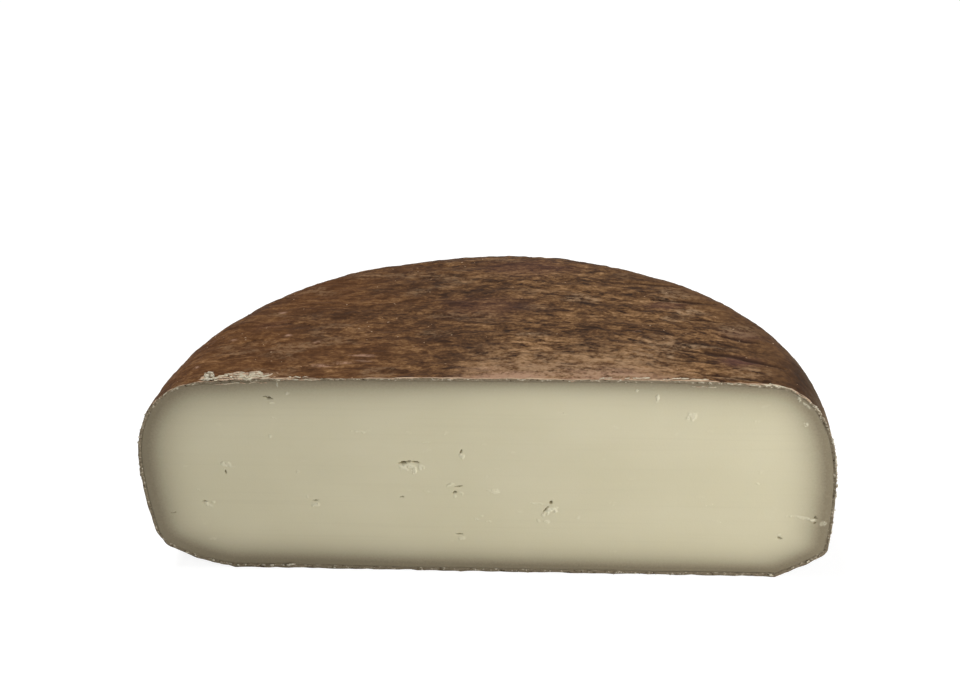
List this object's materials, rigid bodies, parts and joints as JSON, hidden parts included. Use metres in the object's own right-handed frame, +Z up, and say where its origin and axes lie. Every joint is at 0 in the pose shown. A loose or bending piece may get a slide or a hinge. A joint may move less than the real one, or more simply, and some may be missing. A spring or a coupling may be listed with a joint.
{
  "type": "half tomme cheese",
  "caption": "Half a wheel of semi-firm cheese with a grey-brown natural rind, cut straight across to show its pale paste and small eyes.",
  "frame": {"origin": "middle of the footprint's box, on the surface that the cheese stands on", "axes": "+X along the cut, +Y from the cut towards the back of the half wheel, +Z up"},
  "size_m": [0.2002, 0.102, 0.065],
  "materials": {
    "rind": null,
    "paste": null
  },
  "bodies": {
    "root": {"half_wheel": "rind"}
  },
  "joints": []
}
